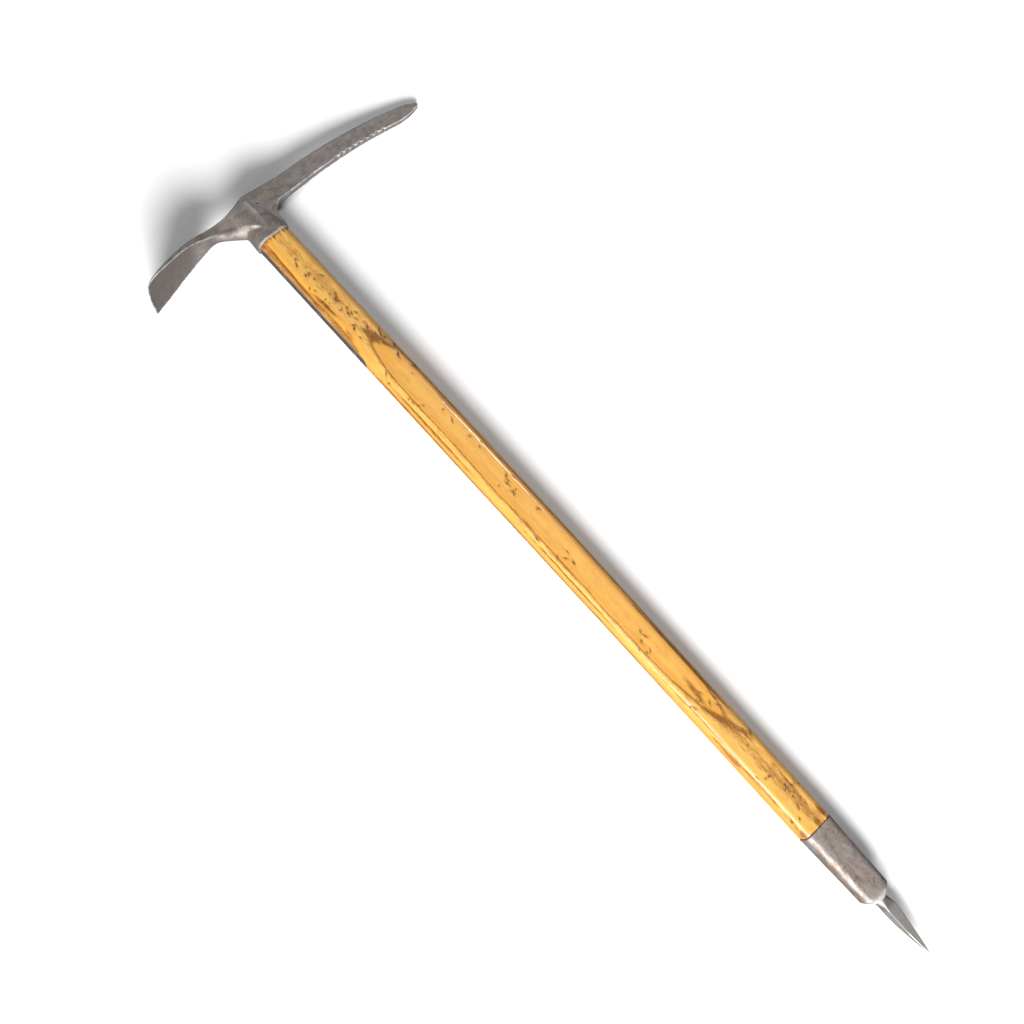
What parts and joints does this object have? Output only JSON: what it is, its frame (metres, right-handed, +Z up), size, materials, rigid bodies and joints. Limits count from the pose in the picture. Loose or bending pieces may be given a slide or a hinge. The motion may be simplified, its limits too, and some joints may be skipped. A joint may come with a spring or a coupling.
{
  "type": "ice axe",
  "caption": "Mountaineering ice axe with a long pick, a broad hollow adze, a varnished ash shaft and a square spike in a steel ferrule.",
  "frame": {"origin": "on the ground under the middle of the axe's box, as it lies on its side", "axes": "+X along the shaft from the head to the spike, +Y towards the point of the pick, +Z up from the ground it lies on"},
  "size_m": [0.8462, 0.3, 0.0601],
  "materials": {
    "head_steel": "dark forged steel, worn satin",
    "shaft_wood": "clear gloss varnish over ash",
    "rivet_steel": "peened and worn",
    "ferrule_steel": "mottled worn satin",
    "spike_steel": "ground bright"
  },
  "bodies": {
    "root": {"head": "head_steel", "shaft": "shaft_wood", "langet_rivet_1": "rivet_steel", "langet_rivet_2": "rivet_steel", "langet_rivet_3": "rivet_steel", "ferrule": "ferrule_steel", "spike": "spike_steel", "ferrule_pin": "rivet_steel"}
  },
  "joints": []
}
